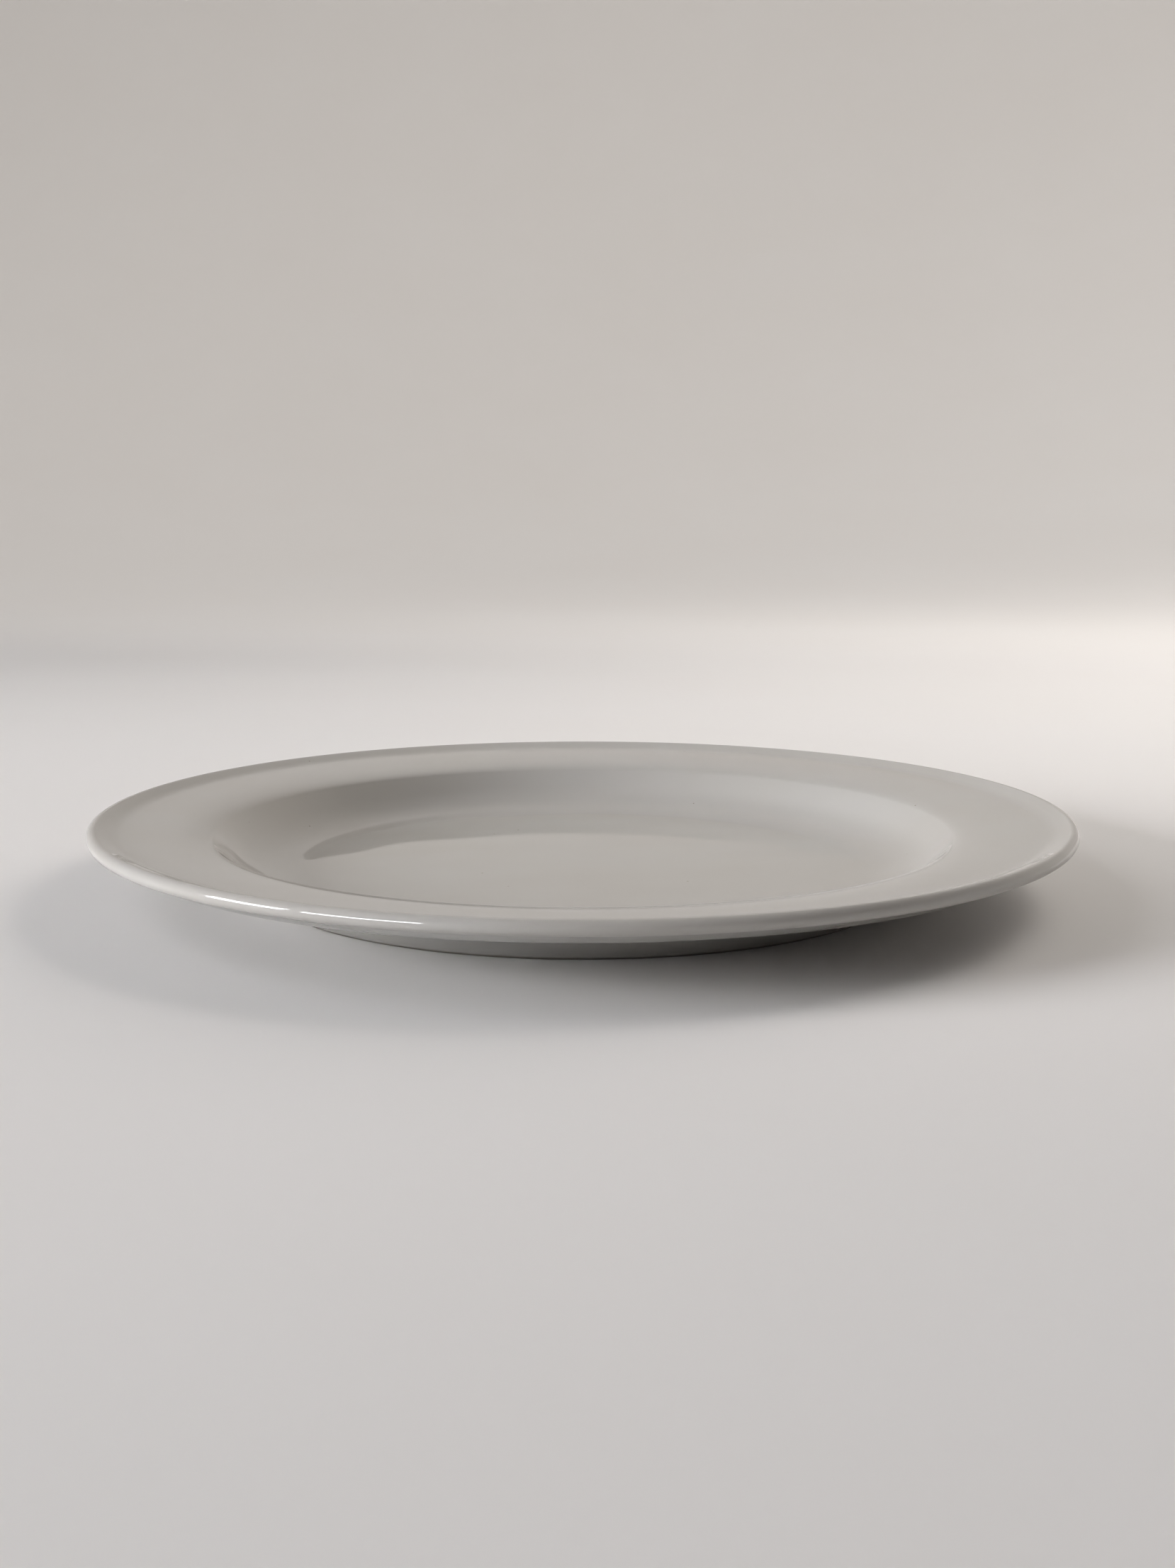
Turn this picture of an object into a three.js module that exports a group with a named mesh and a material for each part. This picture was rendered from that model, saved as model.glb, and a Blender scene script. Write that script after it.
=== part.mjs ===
// A round dinner plate of glazed porcelain with a wide rim, a flat well and a thick rolled edge.
// Millimetres, +Z up. The origin is the centre of the foot, on the surface that the plate stands on.
import * as THREE from "three";

// Driving dimensions. A height is measured from the surface under the foot, a slope in degrees
// rises away from the axis, and a reach is how far a rounding runs along a line from its corner.
const plateDiameter = 270;
const edgeThickness = 3.8; // across the round outer edge
const edgeHeight = 18.75; // middle of the round edge

const lipSlope = 16; // upper face beside the edge
const lipRadius = 126.8; // where the lip and the rim would meet
const lipReach = 1.7;
const rimSlope = 3.1; // upper face of the rim
const shoulderRadius = 104.3; // where the rim and the wall of the well would meet
const shoulderRimReach = 20;
const shoulderWallReach = 3.2;
const wallSlope = 43.5;
const wellFloorHeight = 4.8;
const wellWallReach = 9;
const wellFloorReach = 13;

const rollSlope = 23.2; // underside of the edge, from its round part down to the crease
const creaseRadius = 125.9;
const creaseReach = 0.6;
const rollDepth = 1.4; // how far the crease hangs below the underside of the rim
const rollWidth = 5.4; // from the crease to the underside of the rim
const underRimReach = 1.5;
const rimThickness = 5; // below the corner of the shoulder
const underShoulderRadius = 108.5;
const underShoulderReach = 4;

const footOuterRadius = 89.3;
const footHeight = 1.2; // where the lower wall would meet the side of the foot
const footRounding = 1.2;
const footFlatWidth = 3.4;
const recessHeight = 1.1; // underside of the floor inside the foot
const recessReach = 0.7;

const segmentsRound = 96;
const facetAngle = 13; // greatest turn of one facet of a rounding, in degrees

const radians = THREE.MathUtils.degToRad;

// A corner of the outline at a radius and a height. Its rounding reaches one way along the line
// that arrives and the other way along the line that leaves.
function corner(radius, height, reachBefore = 0, reachAfter = reachBefore) {
  return { at: new THREE.Vector2(radius, height), reachBefore, reachAfter };
}

// The points of a parabola that rounds the corner b between a and c, both ends included. It turns
// faster at the end with the shorter reach, and then it takes more steps.
function roundedCorner(a, b, c, reachBefore, reachAfter) {
  const back = a.clone().sub(b).normalize();
  const ahead = c.clone().sub(b).normalize();
  const turn = Math.PI - Math.acos(THREE.MathUtils.clamp(back.dot(ahead), -1, 1));
  const unevenness = Math.max(reachBefore / reachAfter, reachAfter / reachBefore);
  const steps = Math.max(2, Math.ceil((turn * Math.sqrt(unevenness)) / radians(facetAngle)));
  const start = b.clone().addScaledVector(back, reachBefore);
  const end = b.clone().addScaledVector(ahead, reachAfter);
  return new THREE.QuadraticBezierCurve(start, b, end).getPoints(steps);
}

// The outline through a row of corners, each with its own rounding.
function roundedOutline(corners) {
  return corners.flatMap(({ at, reachBefore, reachAfter }, i) =>
    reachBefore > 0
      ? roundedCorner(corners[i - 1].at, at, corners[i + 1].at, reachBefore, reachAfter)
      : [at],
  );
}

// The height of a straight line at a given radius, from a point on it and its slope.
function heightOnLine(point, slope, radius) {
  return point.y + (radius - point.x) * Math.tan(radians(slope));
}

// The round edge: an arc from the top of the lip, over the outermost point, to the rolled underside.
function edgeArc(centre, radius) {
  const from = 90 + lipSlope;
  const to = rollSlope - 90;
  const steps = Math.ceil((from - to) / facetAngle);
  return Array.from({ length: steps + 1 }, (_, i) => {
    const angle = radians(from + ((to - from) * i) / steps);
    return new THREE.Vector2(Math.cos(angle), Math.sin(angle))
      .multiplyScalar(radius)
      .add(centre);
  });
}

// The closed half section, from the middle of the underside out, over the edge and in to the middle.
function plateOutline() {
  const edgeRadius = edgeThickness / 2;
  const edgeCentre = new THREE.Vector2(plateDiameter / 2 - edgeRadius, edgeHeight);
  const edge = edgeArc(edgeCentre, edgeRadius);
  const edgeTop = edge[0];
  const edgeBottom = edge[edge.length - 1];

  const lipHeight = heightOnLine(edgeTop, lipSlope, lipRadius);
  const lipCorner = new THREE.Vector2(lipRadius, lipHeight);
  const shoulderHeight = heightOnLine(lipCorner, rimSlope, shoulderRadius);
  const wallFoot =
    shoulderRadius - (shoulderHeight - wellFloorHeight) / Math.tan(radians(wallSlope));
  const upper = roundedOutline([
    corner(0, wellFloorHeight),
    corner(wallFoot, wellFloorHeight, wellFloorReach, wellWallReach),
    corner(shoulderRadius, shoulderHeight, shoulderWallReach, shoulderRimReach),
    corner(lipRadius, lipHeight, lipReach),
    corner(edgeTop.x, edgeTop.y),
  ]);

  const creaseHeight = heightOnLine(edgeBottom, rollSlope, creaseRadius);
  const footInnerRadius = footOuterRadius - footRounding - footFlatWidth;
  const lower = roundedOutline([
    corner(edgeBottom.x, edgeBottom.y),
    corner(creaseRadius, creaseHeight, creaseReach),
    corner(creaseRadius - rollWidth, creaseHeight + rollDepth, underRimReach),
    corner(underShoulderRadius, shoulderHeight - rimThickness, underShoulderReach),
    corner(footOuterRadius, footHeight),
    corner(footOuterRadius - footRounding, 0),
    corner(footInnerRadius, 0),
    corner(footInnerRadius - recessHeight, recessHeight, recessReach),
    corner(0, recessHeight),
  ]);
  return [...upper.slice(0, -1), ...edge, ...lower.slice(1)].reverse();
}

function plateMesh() {
  const geometry = new THREE.LatheGeometry(plateOutline(), segmentsRound);
  geometry.rotateX(Math.PI / 2); // the lathe's own axis is Y
  const glazedPorcelain = new THREE.MeshStandardMaterial({
    color: "#cfcac1",
    roughness: 0.12,
    metalness: 0,
  });
  const plate = new THREE.Mesh(geometry, glazedPorcelain);
  plate.name = "plate";
  return plate;
}

const dinnerPlate = new THREE.Group();
dinnerPlate.name = "dinner-plate";
dinnerPlate.add(plateMesh());

export default dinnerPlate;
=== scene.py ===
# A dinner plate of glazed porcelain on a pale floor, lit by a soft low window on the left.
# Metres, +Z up, the origin at the centre of the foot.
import math

import bpy
import numpy as np
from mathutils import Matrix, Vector


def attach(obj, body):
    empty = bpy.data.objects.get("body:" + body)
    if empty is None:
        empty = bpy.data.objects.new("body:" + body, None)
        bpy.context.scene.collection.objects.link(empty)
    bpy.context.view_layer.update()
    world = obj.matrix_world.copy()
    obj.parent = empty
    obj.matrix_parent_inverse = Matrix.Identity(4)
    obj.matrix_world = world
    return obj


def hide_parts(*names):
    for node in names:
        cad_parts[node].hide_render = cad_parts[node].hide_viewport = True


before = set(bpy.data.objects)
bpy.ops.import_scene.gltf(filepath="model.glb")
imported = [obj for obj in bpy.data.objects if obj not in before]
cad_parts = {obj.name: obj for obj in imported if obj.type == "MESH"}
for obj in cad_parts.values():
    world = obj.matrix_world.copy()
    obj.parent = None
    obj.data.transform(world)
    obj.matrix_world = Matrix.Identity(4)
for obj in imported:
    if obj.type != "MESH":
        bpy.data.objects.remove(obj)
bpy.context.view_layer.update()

print("frame loaded:", ", ".join(sorted(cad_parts)))

mm = 0.001


def linearColour(hexText):
    # sRGB to linear: c / 12.92 where c is dark, else ((c + 0.055) / 1.055) ^ 2.4
    channels = np.array([int(hexText[i : i + 2], 16) for i in (1, 3, 5)]) / 255
    linear = np.where(channels <= 0.04045, channels / 12.92, ((channels + 0.055) / 1.055) ** 2.4)
    return (*linear.tolist(), 1.0)


def addNode(tree, kind, values=None, links=None, **settings):
    # Settings are the node's own properties, values fill its sockets, and links feed them.
    node = tree.nodes.new(kind)
    for name, value in settings.items():
        setattr(node, name, value)
    for socket, value in (values or {}).items():
        node.inputs[socket].default_value = value
    for socket, source in (links or {}).items():
        tree.links.new(source, node.inputs[socket])
    return node


def newMaterial(name):
    material = bpy.data.materials.new(name)
    material.use_nodes = True
    material.node_tree.nodes.clear()
    return material, material.node_tree


def latheSurface(profile, segments):
    # x = r cos(a), y = r sin(a), z = z, with a row of the grid for each point of the profile.
    angle = np.linspace(0, 2 * np.pi, segments, endpoint=False)
    radius, height = profile[:, :1], profile[:, 1:]
    return np.stack([radius * np.cos(angle), radius * np.sin(angle), height + 0 * angle], axis=-1)


def closedLathe(name, grid, bottomHeight, topHeight=None):
    # Quad (i, j) joins rows i and i + 1 with columns j and j + 1, the columns wrap round, and a
    # fan of triangles closes each pole.
    rows, segments = grid.shape[:2]
    i, j = np.meshgrid(np.arange(rows - 1), np.arange(segments), indexing="ij")
    k = (j + 1) % segments
    corners = [i * segments + j, i * segments + k, (i + 1) * segments + k, (i + 1) * segments + j]
    faces = np.stack(corners, axis=-1).reshape(-1, 4).tolist()
    points = grid.reshape(-1, 3)
    j, k = j[0], k[0]
    points = np.concatenate([points, [(0, 0, bottomHeight)]])
    faces += np.stack([np.full(segments, rows * segments), k, j], axis=-1).tolist()
    if topHeight is not None:
        last = (rows - 1) * segments
        points = np.concatenate([points, [(0, 0, topHeight)]])
        pole = np.full(segments, rows * segments + 1)
        faces += np.stack([pole, last + j, last + k], axis=-1).tolist()
    mesh = bpy.data.meshes.new(name)
    mesh.from_pydata((points * mm).tolist(), [], faces)
    mesh.polygons.foreach_set("use_smooth", np.ones(len(mesh.polygons), bool))
    mesh.update()
    made = bpy.data.objects.new(name, mesh)
    bpy.context.scene.collection.objects.link(made)
    return made


# The plate, in millimetres and degrees. A slope rises away from the axis, a height is above the
# surface under the foot, and a reach is how far a rounding runs from its corner along each line.
plate = {
    "diameter": 270.0,
    "edgeThickness": 3.8,
    "edgeHeight": 18.75,
    "lipSlope": 20.0,
    "lipRadius": 128.0,
    "lipReach": 2.0,
    "rimSlope": 3.1,
    "shoulderRadius": 104.3,
    "shoulderRimReach": 20.0,
    "shoulderWallReach": 3.2,
    "wallSlope": 43.5,
    "wellFloorHeight": 4.8,
    "wellWallReach": 9.0,
    "wellFloorReach": 13.0,
    "rollSlope": 23.2,  # underside of the edge, down to the crease
    "creaseRadius": 125.9,
    "creaseReach": 0.9,
    "rollDepth": 1.4,
    "rollWidth": 5.4,
    "underRimReach": 2.0,
    "rimThickness": 5.0,
    "underShoulderRadius": 108.5,
    "underShoulderReach": 4.0,
    "footOuterRadius": 89.3,
    "footHeight": 1.2,
    "footRounding": 1.2,
    "footFlatWidth": 3.4,
    "footInnerReach": 0.25,
    "footOuterReach": 0.5,
    "footSideReach": 0.6,
    "recessHeight": 1.1,
    "recessReach": 0.7,
    "segments": 480,
    "edgePoints": 37,  # of the profile, round the edge
    "longestStep": 6.0,  # of the profile, on its straight stretches
    "waveHeight": 0.02,
    "waveLength": 46.0,
    "waveRadius": 96.0,  # where the waves have faded out
    "waveFade": 26.0,
}


def heightOnLine(point, slope, radius):
    # z = z0 + (r - r0) tan(slope)
    return point[1] + (radius - point[0]) * math.tan(math.radians(slope))


def roundedCorner(before, corner, after, reachBefore, reachAfter, steps):
    # A parabola: (1 - t)^2 start + 2 t (1 - t) corner + t^2 end, with both ends at their reach.
    before, corner, after = (np.array(p, float) for p in (before, corner, after))
    start = corner + (before - corner) * reachBefore / np.linalg.norm(before - corner)
    end = corner + (after - corner) * reachAfter / np.linalg.norm(after - corner)
    t = np.linspace(0, 1, steps + 1)[:, None]
    return (1 - t) ** 2 * start + 2 * t * (1 - t) * corner + t**2 * end


def roundedOutline(corners):
    # Each corner is radius, height, reach before, reach after and steps. No steps leave it sharp.
    pieces = []
    for i, (radius, height, reachBefore, reachAfter, steps) in enumerate(corners):
        if steps:
            before, after = corners[i - 1][:2], corners[i + 1][:2]
            corner = (radius, height)
            pieces.append(roundedCorner(before, corner, after, reachBefore, reachAfter, steps))
        else:
            pieces.append(np.array([[radius, height]]))
    return np.concatenate(pieces)


def splitLongSteps(profile, longest):
    # Points are added evenly along the length s of each stretch that is longer than a step.
    length = np.r_[0, np.cumsum(np.linalg.norm(np.diff(profile, axis=0), axis=1))]
    parts = np.maximum(1, np.ceil(np.diff(length) / longest)).astype(int)
    stretches = [np.linspace(a, b, n, endpoint=False) for a, b, n in zip(length, length[1:], parts)]
    s = np.concatenate([*stretches, length[-1:]])
    return np.stack([np.interp(s, length, profile[:, k]) for k in (0, 1)], axis=-1)


def plateProfile(p):
    # From the middle of the underside out, over the round edge, and in to the middle of the well.
    edgeRadius = p["edgeThickness"] / 2
    edgeCentre = np.array([p["diameter"] / 2 - edgeRadius, p["edgeHeight"]])
    angle = np.radians(np.linspace(p["rollSlope"] - 90, 90 + p["lipSlope"], p["edgePoints"]))
    edge = edgeCentre + edgeRadius * np.stack([np.cos(angle), np.sin(angle)], axis=-1)
    edgeBottom, edgeTop = edge[0], edge[-1]

    lip = (p["lipRadius"], heightOnLine(edgeTop, p["lipSlope"], p["lipRadius"]))
    shoulderHeight = heightOnLine(lip, p["rimSlope"], p["shoulderRadius"])
    drop = shoulderHeight - p["wellFloorHeight"]
    wallFoot = p["shoulderRadius"] - drop / math.tan(math.radians(p["wallSlope"]))
    upper = roundedOutline([
        (*edgeTop, 0, 0, 0),
        (*lip, p["lipReach"], p["lipReach"], 8),
        (p["shoulderRadius"], shoulderHeight, p["shoulderRimReach"], p["shoulderWallReach"], 30),
        (wallFoot, p["wellFloorHeight"], p["wellWallReach"], p["wellFloorReach"], 24),
        (0, p["wellFloorHeight"], 0, 0, 0),
    ])

    creaseHeight = heightOnLine(edgeBottom, p["rollSlope"], p["creaseRadius"])
    footOuter = p["footOuterRadius"] - p["footRounding"]
    footInner = footOuter - p["footFlatWidth"]
    recess = p["recessHeight"]
    underRim = (p["creaseRadius"] - p["rollWidth"], creaseHeight + p["rollDepth"])
    underShoulder = (p["underShoulderRadius"], shoulderHeight - p["rimThickness"])
    lower = roundedOutline([
        (0, recess, 0, 0, 0),
        (footInner - recess, recess, p["recessReach"], p["recessReach"], 6),
        (footInner, 0, p["footInnerReach"], p["footInnerReach"], 3),
        (footOuter, 0, p["footOuterReach"], p["footOuterReach"], 4),
        (p["footOuterRadius"], p["footHeight"], p["footSideReach"], p["footSideReach"], 4),
        (*underShoulder, p["underShoulderReach"], p["underShoulderReach"], 8),
        (*underRim, p["underRimReach"], p["underRimReach"], 8),
        (p["creaseRadius"], creaseHeight, p["creaseReach"], p["creaseReach"], 8),
        (*edgeBottom, 0, 0, 0),
    ])
    profile = np.concatenate([lower[:-1], edge, upper[1:]])
    return splitLongSteps(profile, p["longestStep"])


def buildPlate(p):
    profile = plateProfile(p)
    grid = latheSurface(profile[1:-1], p["segments"])

    # Firing leaves the well a little uneven: h sin(ku) cos(kv), with u and v askew to x and y, and
    # half as much of a shorter wave are added to z, and fade out up the wall.
    x, y = grid[..., 0], grid[..., 1]
    k = 2 * math.pi / p["waveLength"]
    wave = np.sin(k * (x + 0.4 * y) + 0.8) * np.cos(k * 0.8 * (y - 0.3 * x) + 0.3)
    wave += 0.5 * np.sin(1.9 * k * (y - 0.2 * x) + 2.1)
    onTop = np.arange(len(grid)) > np.argmax(profile[1:-1, 0])
    fade = np.clip((p["waveRadius"] - np.hypot(x, y)) / p["waveFade"], 0, 1) ** 2
    grid[..., 2] += onTop[:, None] * fade * p["waveHeight"] * wave
    return closedLathe("dinnerPlate", grid, profile[0, 1], grid[-1, :, 2].mean())


# Porcelain body under a clear gloss glaze, machine turned and dipped: a warm pale grey with a
# mirror-like skin that is never quite even, a few pits and dark specks, and an unglazed, matt foot
# whose lowest band is painted dark as the contact shade.
glaze = {
    "body": "#b2b0ac",
    "bodyWarm": "#b0ada8",
    "cloudSize": 55.0,  # mm
    "cloudBand": (0.35, 0.65),  # of the noise, from one colour to the other
    # The lowest band of the foot is unglazed and matt, and its dark colour is painted contact shade
    # where the foot meets the floor.
    "bareBodyAndContactShade": "#6b655d",
    "bareAndShadeBelow": 0.9,  # mm
    "speckColour": "#7d7568",
    "speckCell": 7.0,  # mm, with one speck at most in each
    "speckSize": 0.3,  # mm
    "speckShare": 0.16,
    "pitDepth": 0.02,  # mm
    "solidShare": 0.6,  # of a speck or of the bare foot, before it fades into the glaze
    "gloss": (0.012, 0.03),  # roughness of the glaze
    "glossBand": (0.3, 0.7),
    "bareRoughness": 0.6,
    "ior": 1.52,
    "swellSize": 16.0,  # mm
    "swellDepth": 0.004,
    "peelSize": 2.2,  # mm
    "peelDepth": 0.0008,
}


def glazedPorcelain(g):
    material, tree = newMaterial("glazedPorcelain")
    place = addNode(tree, "ShaderNodeTexCoord").outputs["Object"]
    height = addNode(tree, "ShaderNodeSeparateXYZ", links={"Vector": place}).outputs["Z"]

    def noise(size, detail):
        values = {"Scale": 1 / (size * mm), "Detail": detail}
        return addNode(tree, "ShaderNodeTexNoise", values, {"Vector": place}).outputs["Fac"]

    def spread(source, low, high, toLow=0.0, toHigh=1.0):
        values = {"From Min": low, "From Max": high, "To Min": toLow, "To Max": toHigh}
        return addNode(tree, "ShaderNodeMapRange", values, {"Value": source}).outputs["Result"]

    def blend(share, first, second):
        # The mix node has one set of sockets for each kind of data, and 6, 7 are its colours.
        node = addNode(tree, "ShaderNodeMix", data_type="RGBA")
        tree.links.new(share, node.inputs[0])
        for socket, value in ((6, first), (7, second)):
            if isinstance(value, tuple):
                node.inputs[socket].default_value = value
            else:
                tree.links.new(value, node.inputs[socket])
        return node.outputs[2]

    cells = addNode(
        tree, "ShaderNodeTexVoronoi", {"Scale": 1 / (g["speckCell"] * mm)}, {"Vector": place}
    )
    share = addNode(tree, "ShaderNodeSeparateColor", links={"Color": cells.outputs["Color"]})
    chosen = spread(share.outputs["Red"], g["speckShare"] + 0.01, g["speckShare"])
    reach = g["speckSize"] / g["speckCell"]
    near = spread(cells.outputs["Distance"], reach, reach * g["solidShare"])
    speck = addNode(tree, "ShaderNodeMath", operation="MULTIPLY")
    tree.links.new(chosen, speck.inputs[0])
    tree.links.new(near, speck.inputs[1])
    speck = speck.outputs[0]
    # Below this height the foot is unglazed and matt, and painted dark as the contact shade along
    # the floor.
    bareAndShadeTop = g["bareAndShadeBelow"] * mm
    bareFootAndShade = spread(height, bareAndShadeTop, bareAndShadeTop * g["solidShare"])

    clouds = spread(noise(g["cloudSize"], 3.0), *g["cloudBand"])
    colour = blend(clouds, linearColour(g["body"]), linearColour(g["bodyWarm"]))
    colour = blend(speck, colour, linearColour(g["speckColour"]))
    # Painted contact shade: the lowest band of the foot takes the dark colour.
    colour = blend(bareFootAndShade, colour, linearColour(g["bareBodyAndContactShade"]))
    gloss = spread(noise(g["swellSize"] * 2, 2.0), *g["glossBand"], *g["gloss"])
    roughness = addNode(tree, "ShaderNodeMix", {3: g["bareRoughness"]}, {0: bareFootAndShade, 2: gloss})

    # The glaze settles in long swells, with a faint orange peel on them and a pit at each speck.
    swell = addNode(
        tree, "ShaderNodeBump", {"Strength": 1.0, "Distance": g["swellDepth"] * mm},
        {"Height": noise(g["swellSize"], 1.0)},
    )
    peel = addNode(
        tree, "ShaderNodeBump", {"Strength": 1.0, "Distance": g["peelDepth"] * mm},
        {"Height": noise(g["peelSize"], 2.0), "Normal": swell.outputs["Normal"]},
    )
    pits = addNode(
        tree, "ShaderNodeBump", {"Strength": 1.0, "Distance": g["pitDepth"] * mm},
        {"Height": speck, "Normal": peel.outputs["Normal"]}, invert=True,
    )
    shader = addNode(
        tree, "ShaderNodeBsdfPrincipled", {"IOR": g["ior"]},
        {"Base Color": colour, "Roughness": roughness.outputs[0], "Normal": pits.outputs["Normal"]},
    )
    addNode(tree, "ShaderNodeOutputMaterial", links={"Surface": shader.outputs["BSDF"]})
    return material


dinnerPlate = buildPlate(plate)
dinnerPlate.data.materials.append(glazedPorcelain(glaze))
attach(dinnerPlate, "root")
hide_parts("plate")
print("plate built:", len(dinnerPlate.data.polygons), "faces")


# The floor and the wall round it are one sweep of pale matt paint on smooth board.
studio = {
    "middleRadius": 60.0,  # mm, of the fan in the middle of the floor
    "floorRadius": 1100.0,
    "coveRadius": 2200.0,
    "wallHeight": 3600.0,
    "segments": 120,
    "floorRings": 29,
    "covePoints": 25,
    "paint": "#e1e0df",
    "paintWarm": "#dfdddb",
    "mottle": 180.0,  # mm
    "roughness": 0.9,
    "specular": 0.0,
}


def buildStudio(s):
    angle = np.radians(np.linspace(-90, 0, s["covePoints"]))
    cove = np.stack([np.cos(angle), np.sin(angle) + 1], axis=-1) * s["coveRadius"]
    cove[:, 0] += s["floorRadius"]
    rings = np.linspace(s["middleRadius"], s["floorRadius"], s["floorRings"], endpoint=False)
    floor = np.stack([rings, np.zeros(len(rings))], axis=-1)
    wall = np.array([[cove[-1, 0], s["wallHeight"]]])
    grid = latheSurface(np.concatenate([floor, cove, wall]), s["segments"])
    made = closedLathe("studioFloor", grid, 0.0)
    made.data.flip_normals()

    material, tree = newMaterial("mattPaint")
    place = addNode(tree, "ShaderNodeTexCoord").outputs["Object"]
    values = {"Scale": 1 / (s["mottle"] * mm), "Detail": 4.0}
    mottle = addNode(tree, "ShaderNodeTexNoise", values, {"Vector": place})
    paint = addNode(tree, "ShaderNodeMix", data_type="RGBA")
    paint.inputs[6].default_value = linearColour(s["paint"])
    paint.inputs[7].default_value = linearColour(s["paintWarm"])
    tree.links.new(mottle.outputs["Fac"], paint.inputs[0])
    values = {"Roughness": s["roughness"], "Specular IOR Level": s["specular"]}
    shader = addNode(tree, "ShaderNodeBsdfPrincipled", values, {"Base Color": paint.outputs[2]})
    addNode(tree, "ShaderNodeOutputMaterial", links={"Surface": shader.outputs["BSDF"]})
    made.data.materials.append(material)
    return made


studioFloor = buildStudio(studio)
print("floor and wall built")


# Azimuth (0 is +Y, 90 is +X) and elevation in degrees, distance, width and height in metres,
# watts, and spread in degrees. The panes of the window only show in the glaze, which mirrors none
# of the other lights, and the window's daylight is cooler than the light of the room.
window = {
    "sidePane": (-104.0, 13.5, 2.2, 0.80, 0.62, 48.0, 180.0),
    "nearPane": (-133.0, 13.0, 2.2, 1.05, 0.36, 28.0, 180.0),
    "daylight": (-107.0, 13.5, 2.2, 1.3, 0.66, 11.5, 64.0),
    "highDaylight": (-90.0, 42.0, 2.4, 1.4, 1.1, 12.5, 180.0),
    "colour": "#f7f7fa",
}
roomLights = {
    "rightBehind": (45.0, 15.0, 2.4, 1.4, 1.1, 2.4, 64.0),
    "ceiling": (0.0, 84.0, 2.4, 1.8, 1.8, 3.4, 180.0),
    "aim": (0.0, 0.0, 0.02),
    "ambient": 0.02,
    "colour": "#fff9f3",
}
# These light the wall and the floor beside the plate: place, aim, width, height, watts and spread.
wallLights = {
    "wallWash": ((0.5, 0.9, 1.5), (0.7, 3.3, 0.75), 3.8, 2.4, 27.0, 150.0),
    "rightWash": ((1.0, 0.7, 0.9), (0.48, 0.42, 0.0), 0.9, 0.9, 2.9, 72.0),
}


def areaLight(name, place, aim, colour, width, height, watts, spread):
    data = bpy.data.lights.new(name, "AREA")
    data.shape, data.size, data.size_y, data.energy = "RECTANGLE", width, height, watts
    data.color = linearColour(colour)[:3]
    data.spread = math.radians(spread)
    made = bpy.data.objects.new(name, data)
    made.location = place
    made.rotation_euler = (Vector(aim) - Vector(place)).to_track_quat("-Z", "Y").to_euler()
    made.visible_camera = False
    bpy.context.scene.collection.objects.link(made)
    return made


def onSphere(azimuth, elevation, distance):
    a, e = math.radians(azimuth), math.radians(elevation)
    return Vector((math.sin(a) * math.cos(e), math.cos(a) * math.cos(e), math.sin(e))) * distance


def lightOnPlate(name, lights, mirrored):
    # A light aimed at the plate, which either shows in its glaze or only lights what it falls on.
    azimuth, elevation, distance, *size = lights[name]
    place = onSphere(azimuth, elevation, distance)
    made = areaLight(name, place, roomLights["aim"], lights["colour"], *size)
    made.visible_glossy, made.visible_diffuse = mirrored, not mirrored


for name in ("sidePane", "nearPane"):
    lightOnPlate(name, window, mirrored=True)
for name in ("daylight", "highDaylight"):
    lightOnPlate(name, window, mirrored=False)
for name in ("rightBehind", "ceiling"):
    lightOnPlate(name, roomLights, mirrored=False)
for name, (place, aim, *size) in wallLights.items():
    wash = areaLight(name, place, aim, roomLights["colour"], *size)
    wash.visible_glossy = False

world = bpy.data.worlds.new("softRoom")
world.use_nodes = True
background = world.node_tree.nodes["Background"]
background.inputs["Color"].default_value = linearColour(roomLights["colour"])
background.inputs["Strength"].default_value = roomLights["ambient"]
bpy.context.scene.world = world
bpy.context.scene.view_settings.view_transform = "Standard"
print("lights placed")


# The photograph's own view, from a fit to the plate's outlines: the camera's place in metres, its
# turn down and right in degrees, and the lens and the long side of the film in millimetres.
photoView = {
    "away": 0.5093,
    "up": 0.1115,
    "down": 9.37,
    "right": 0.14,
    "lens": 42.31,
    "filmSide": 36.0,
    "clipStart": 0.01,
}

camera = bpy.data.objects.new("photoCamera", bpy.data.cameras.new("photoCamera"))
camera.data.lens, camera.data.sensor_width = photoView["lens"], photoView["filmSide"]
camera.data.clip_start = photoView["clipStart"]
camera.location = (0, -photoView["away"], photoView["up"])
camera.rotation_euler = (
    math.radians(90 - photoView["down"]), 0, -math.radians(photoView["right"]),
)
bpy.context.scene.collection.objects.link(camera)
bpy.context.scene.camera = camera
